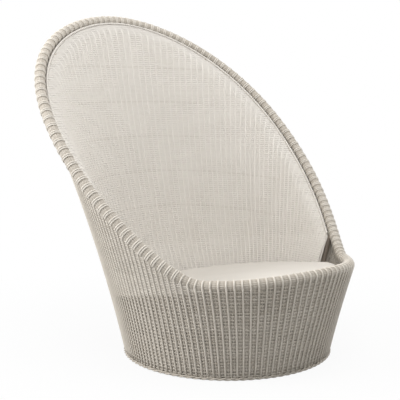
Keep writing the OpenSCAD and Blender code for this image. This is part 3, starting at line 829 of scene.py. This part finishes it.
single_loops, twin_loops = [], []
for rib in np.arange(RIBS) + 0.5:
    angle = float(rim_angle(rib))
    point, tangent, out, up = (v[0] for v in rim_frame(np.array([angle])))
    direction = np.cos(loop_turns)[:, None] * out + np.sin(loop_turns)[:, None] * up
    if drawn_share(angle) > FLUSH_SHARE:
        single_loops.append(loop(point, direction))
        continue
    for side in (-1, 1):
        twin_loops.append(loop(point + side * TWIN_APART * tangent, direction))
cane_piece("rim_loops_front", single_loops, cane_loop, "rim_wrap")
cane_piece("rim_loops", twin_loops, cane_loop, "rim_wrap")

# %% [markdown]
# ## Borders and free edges
# Where the wall ends at the floor, and where the inner back ends under the rim, the weave is closed
# by a rope of two twisted canes. One modelled turn could be copied along a straight line, but these
# lines curve all the way, so each cane is threaded on a spiral round its line. The free edges of the
# inner back are rolled: a fine cane is wound tightly round them.

# %% Border at the foot
STEPS_PER_TURN, ROPE_TONES = 12, (0.05, -0.07)
FOOT_ROPE_R, FOOT_ROPE_Z, FOOT_TURNS, FOOT_REACH, FOOT_CANE_R = 0.3825, 0.0077, 44, 0.0029, 0.0033


def rope(line, out, up, reach, radius, closed):
    """Two canes twisted round a line, given the line's outward and upward directions."""
    canes = []
    for cane, tone_and_shade in enumerate(ROPE_TONES):
        turn = (2 * np.pi * np.arange(len(line)) / STEPS_PER_TURN + math.pi * cane)[:, None]
        direction = np.cos(turn) * out + np.sin(turn) * up
        canes.append((line + reach * direction, direction, radius, radius, ROUND_SIDES, closed, tone_and_shade))
    return canes


foot_steps = FOOT_TURNS * STEPS_PER_TURN
round_foot = 2 * np.pi * np.arange(foot_steps) / foot_steps
foot_out = np.stack([np.sin(round_foot), -np.cos(round_foot), 0 * round_foot], -1)
foot_line = FOOT_ROPE_R * foot_out + np.array([0, FOOT_Y, FOOT_ROPE_Z])
foot_canes = rope(foot_line, foot_out, np.array([0, 0, 1.0]), FOOT_REACH, FOOT_CANE_R, True)
cane_piece("foot_rope", foot_canes, cane_rim, "foot_braid")

# %% Border cord of the inner back
LIP_TURN_LENGTH, LIP_START, LIP_REACH, LIP_CANE_R = 0.019, EDGE_TOP_ANGLE + 1, 0.0023, 0.0029
LIP_CORD_UP, LIP_CORD_IN = 0.0045, 0.0060
lip_fine = np.linspace(LIP_START, 360 - LIP_START, 4000)


def lip_point(angle):
    """A point on the middle line of the cord that lies under the rim, over the inner back's lip."""
    up = LIP_CORD_UP * np.sqrt(1 + rim_slope(angle) ** 2)
    return wall(angle, lip_z(angle) + up, dressed_inset(angle, lip_z(angle)) + LIP_CORD_IN)


lip_length = distance_along(lip_point(lip_fine))
lip_steps = int(lip_length[-1] / LIP_TURN_LENGTH * STEPS_PER_TURN)
lip_places = np.interp(np.linspace(0, lip_length[-1], lip_steps), lip_length, lip_fine)
lip_line = lip_point(lip_places)
lip_out = wall_normal(lip_places, lip_z(lip_places), 0)
lip_up = np.cross(unit(np.gradient(lip_line, axis=0)), lip_out)
lip_canes = rope(lip_line, lip_out, lip_up, LIP_REACH, LIP_CANE_R, False)
cane_piece("lip_cord", lip_canes, cane_inside, "inner_back_weave")
print("border cord under the rim:", round(float(lip_length[-1]), 3), "m long")

# %% Rolled free edges
EDGE_ROLL_OFF, EDGE_CORE_R, EDGE_FOOT_UP, EDGE_TOP_DOWN = 0.0059, 0.0030, 0.0037, 0.020
WINDS, STEPS_PER_WIND, WOUND_TONE = 36, 8, 0.05
WOUND_RING, WOUND_WIDE, WOUND_THICK = 0.0034, 0.0017, 0.0015
for side, name in ((1, "left"), (-1, "right")):
    z = np.linspace(EDGE_FOOT_Z + EDGE_FOOT_UP, EDGE_TOP_Z - EDGE_TOP_DOWN, WINDS * STEPS_PER_WIND)
    angle = side * (edge_angle(z) - np.degrees(EDGE_ROLL_OFF / half_width(z)))
    inset = back_inset(edge_angle(z), z) + WEAVE_T / 2
    line = wall(angle, z, inset)
    turn = (2 * np.pi * np.arange(len(z)) / STEPS_PER_WIND)[:, None]
    normal = wall_normal(angle, z, inset)
    beside = np.cross(unit(np.gradient(line, axis=0)), normal)
    direction = np.cos(turn) * normal + np.sin(turn) * beside
    core = (line, normal, EDGE_CORE_R, EDGE_CORE_R, ROUND_SIDES, False, 0.0)
    wound = (line + WOUND_RING * direction, direction, WOUND_WIDE, WOUND_THICK, FLAT_SIDES, False, WOUND_TONE)
    cane_piece("edge_roll_" + name, [core, wound], cane_inside, "edge_braid_" + name)

# %% [markdown]
# ## Woven seat
# Under the cushion the seat is a plain weave of cane, over one and under one, on the seat ring. The
# photo hides it. Its strands run straight from side to side and from front to back, so each one
# needs a point only where it crosses another, a little above or below the seat's plane.

# %% Outline of the woven seat
WEAVE_INSET, OUTLINE_STEP = 0.0286, 2.0
seat_up = np.array([0, math.sin(SEAT_TILT), math.cos(SEAT_TILT)])
seat_middle_z = SEAT_Z - WEAVE_T / 2 / math.cos(SEAT_TILT)
outline_angles = np.arange(0, 361, OUTLINE_STEP)
outline = wall(outline_angles, sloping_z(outline_angles, seat_middle_z, WEAVE_INSET), WEAVE_INSET)
half_line = outline[outline_angles <= 180]
widest = int(half_line[:, 0].argmax())
print("woven seat:", round(float(2 * half_line[widest, 0]), 3), "m wide")

# %% Woven seat
SEAT_PITCH, SEAT_SWING, SEAT_CANE_WIDE, SEAT_CANE_THICK, SEAT_SPREAD = 0.013, 0.0014, 0.0050, 0.0016, 0.12
SEAT_LINES, END_CLEAR, SIDE_CLEAR = 34, 0.003, 0.008
lines = np.arange(-SEAT_LINES, SEAT_LINES + 1) * SEAT_PITCH
strands = []


def seat_strand(low, high, fixed, number, across):
    """A strand between two ends of its line, over and under the lines that cross it."""
    origin = 0 if across else SEAT_MID_Y
    crossings = np.nonzero((lines + origin > low + END_CLEAR) & (lines + origin < high - END_CLEAR))[0]
    t = np.concatenate([[low], lines[crossings] + origin, [high]])
    sign = np.concatenate([[0], np.where((crossings + number + across) % 2 == 0, 1, -1), [0]])
    x, y = (t, fixed + 0 * t) if across else (fixed + 0 * t, t)
    path = np.stack([x, y, fallen(seat_middle_z, y)], -1) + SEAT_SWING * sign[:, None] * seat_up
    return (path, np.tile(seat_up, (len(t), 1)), SEAT_CANE_WIDE, SEAT_CANE_THICK, FLAT_SIDES, False,
            tone_of(SEAT_SPREAD))


for number, line in enumerate(lines):
    y = line + SEAT_MID_Y
    if outline[:, 1].min() + SIDE_CLEAR < y < outline[:, 1].max() - SIDE_CLEAR:
        reach = float(np.interp(y, half_line[:, 1], half_line[:, 0]))
        strands.append(seat_strand(-reach, reach, y, number, True))
    if abs(line) < outline[:, 0].max() - SIDE_CLEAR:
        front = float(np.interp(abs(line), half_line[:widest + 1, 0], half_line[:widest + 1, 1]))
        back = float(np.interp(abs(line), half_line[widest:, 0][::-1], half_line[widest:, 1][::-1]))
        strands.append(seat_strand(front, back, line, number, False))
cane_piece("seat_cane", strands, cane_inside, "seat_weave")

# %% [markdown]
# ## Cushion
# A loose pad in a smooth outdoor cloth. It starts as a copy of the CAD foam, which is a little
# smaller than the finished cushion, and in the photo the pad stands a little fuller to the front,
# so the copy is thickened by that much. Cloth simulation with air pressure then swells it into a
# soft crowned form, and no point moves further than SWELL_LIMIT, so that it stays clear of the
# weave. A seam runs round the middle of its side. Remeshing would remove a line so fine, so it is
# pressed in last.

# %% Cushion: copy of the foam
MERGE_REACH = 0.0001
bpy.ops.object.select_all(action="DESELECT")
cushion = bpy.data.objects.new("cushion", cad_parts["cushion_foam"].data.copy())
bpy.context.scene.collection.objects.link(cushion)
cushion.data.materials.clear()
bpy.context.view_layer.objects.active = cushion
cushion.select_set(True)
bpy.ops.object.mode_set(mode="EDIT")
bpy.ops.mesh.select_all(action="SELECT")
bpy.ops.mesh.remove_doubles(threshold=MERGE_REACH)
bpy.ops.object.mode_set(mode="OBJECT")
print("cushion: starts with", len(cushion.data.vertices), "points of the foam")


# %% Cushion: helpers
def applied(piece, kind, **settings):
    """Add one modifier to a piece and apply it."""
    modifier = piece.modifiers.new(kind.lower(), kind)
    for key, value in settings.items():
        setattr(modifier, key, value)
    bpy.context.view_layer.objects.active = piece
    bpy.ops.object.modifier_apply(modifier=modifier.name)


def mesh_points(piece):
    """The places of a piece's points as an array."""
    points = np.empty(3 * len(piece.data.vertices), np.float32)
    piece.data.vertices.foreach_get("co", points)
    return points.reshape(-1, 3).astype(float)


def set_mesh_points(piece, points):
    """Move a piece's points to new places."""
    piece.data.vertices.foreach_set("co", points.astype(np.float32).ravel())
    piece.data.update()


def seat_height(points):
    """How far points lie above the seat, measured square to it."""
    return (points[:, 2] - fallen(SEAT_Z, points[:, 1])) * math.cos(SEAT_TILT)


# %% Cushion: fuller to the front
VOXEL, FULLER, FULLER_FORWARD, FULL_HEIGHT = 0.006, 0.008, 0.012, 0.040
applied(cushion, "REMESH", mode="VOXEL", voxel_size=VOXEL)
points = mesh_points(cushion)
rise = FULLER + FULLER_FORWARD * (SEAT_MID_Y - points[:, 1])
fuller = rise * np.clip(seat_height(points) / FULL_HEIGHT, 0, 1)
set_mesh_points(cushion, points + fuller[:, None] * np.array([0, 0, 1]))
print("cushion: raised by up to", round(float(fuller.max()), 4))

# %% Cushion: swollen by air pressure
PRESSURE, STIFFNESS, CLOTH_MASS, LAST_FRAME, SWELL_LIMIT = 4, 15, 0.3, 20, 0.006
start = mesh_points(cushion)
modifier = cushion.modifiers.new("swell", "CLOTH")
cloth = modifier.settings
cloth.use_pressure = True
cloth.uniform_pressure_force = PRESSURE
cloth.effector_weights.gravity = 0
cloth.tension_stiffness = cloth.compression_stiffness = STIFFNESS
cloth.mass = CLOTH_MASS
for frame_number in range(1, LAST_FRAME + 1):
    bpy.context.scene.frame_set(frame_number)
bpy.ops.object.modifier_apply(modifier="swell")
bpy.context.scene.frame_set(1)
move = mesh_points(cushion) - start
length = np.linalg.norm(move, axis=1, keepdims=True)
print("cushion: largest swell", round(float(length.max()), 4))
set_mesh_points(cushion, start + move * np.minimum(1, SWELL_LIMIT / np.maximum(length, 1e-9)))
applied(cushion, "SUBSURF", levels=1)
print("cushion:", len(cushion.data.polygons), "faces")

# %% Cushion: seam
SEAM_HEIGHT, SEAM_DEPTH, SEAM_SOFTNESS = 0.0225, 0.0012, 0.0025
points = mesh_points(cushion)
normals = np.empty(3 * len(points), np.float32)
cushion.data.vertices.foreach_get("normal", normals)
normals = normals.reshape(-1, 3)
upright_side = 1 - np.abs(normals @ seat_up.astype(np.float32))
off_seam = (seat_height(points) - SEAM_HEIGHT) / SEAM_SOFTNESS
groove = SEAM_DEPTH * np.exp(-off_seam ** 2) * np.clip(2 * upright_side, 0, 1)
set_mesh_points(cushion, points - groove[:, None] * normals)
bpy.ops.object.select_all(action="DESELECT")
cushion.select_set(True)
bpy.context.view_layer.objects.active = cushion
bpy.ops.object.shade_smooth()
print("cushion: largest depth of the seam", round(float(groove.max()), 4))

# %% [markdown]
# ## The cushion's cloth
# The cloth is off-white and dull, and its thread is too fine to model. So the finish is a bump of
# fine grain, a soft sheen, and slow changes between two close shades, as on cloth kept outdoors.

# %% Cushion: finish
THREAD_SCALE, THREAD_DEPTH, SOIL_SCALE = 900.0, 0.0004, 6.0
CLOTH_CLEAN, CLOTH_SOILED = (0.57, 0.535, 0.485), (0.54, 0.505, 0.455)
cloth_finish, tree = empty_finish("cushion_cloth")
thread = noise(tree, object_place(tree), THREAD_SCALE, 2.0)
soil = ranged(tree, noise(tree, object_place(tree), SOIL_SCALE, 3.0), *NOISE_SPAN, 0.0, 1.0)
values = {"Base Color": blended(tree, soil, CLOTH_CLEAN, CLOTH_SOILED), "Roughness": 0.9,
          "Sheen Weight": 0.15, "Specular IOR Level": 0.2}
bumped_surface(tree, values, thread, 0.25, THREAD_DEPTH)
cushion.data.materials.append(cloth_finish)
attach(cushion, "cushion")
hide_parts("cushion_cover", "cushion_foam")

# %% [markdown]
# ## Frame, glides and screws
# The CAD tubes, glides and screws have the right shapes, so they stay and only get a finish each:
# powder coat in taupe, moulded plastic, and steel. All three are a hard surface with a fine grain,
# so one function makes them.

# %% Finishes of the carried-over nodes
BLOTCH_SCALE, BLOTCH_GLOSS = 14.0, 0.06


def coated_finish(name, colour, dark, roughness, metallic, grain_scale, grain_depth):
    """A hard surface with a fine orange-peel grain and slightly uneven colour."""
    coat, tree = empty_finish(name)
    peel = noise(tree, object_place(tree), grain_scale, 2.0)
    blotch = noise(tree, object_place(tree), BLOTCH_SCALE, 4.0)
    gloss = ranged(tree, blotch, *NOISE_SPAN, roughness - BLOTCH_GLOSS, roughness + BLOTCH_GLOSS)
    values = {"Base Color": blended(tree, blotch, colour, dark), "Metallic": metallic, "Roughness": gloss}
    bumped_surface(tree, values, peel, 0.3, grain_depth)
    return coat


powder_coat = coated_finish("powder_coat_taupe", (0.47, 0.40, 0.34), (0.40, 0.34, 0.285),
                            0.5, 0.0, 1400.0, 0.0002)
glide_plastic = coated_finish("glide_plastic", (0.03, 0.03, 0.03), (0.02, 0.02, 0.02),
                              0.55, 0.0, 2200.0, 0.0001)
screw_steel = coated_finish("screw_steel", (0.60, 0.60, 0.61), (0.50, 0.50, 0.51),
                            0.32, 1.0, 1800.0, 0.00005)
print("finishes of CAD nodes:", [finish.name for finish in (powder_coat, glide_plastic, screw_steel)])

# %% Which node gets which finish
for name, cad_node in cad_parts.items():
    if cad_node.hide_render:
        continue
    finish = {"glides": glide_plastic, "glide_screws": screw_steel}.get(name, powder_coat)
    for slot in cad_node.material_slots:
        slot.material = finish
    if not cad_node.material_slots:
        cad_node.data.materials.append(finish)
print("CAD nodes still shown:", sorted(n for n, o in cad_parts.items() if not o.hide_render))
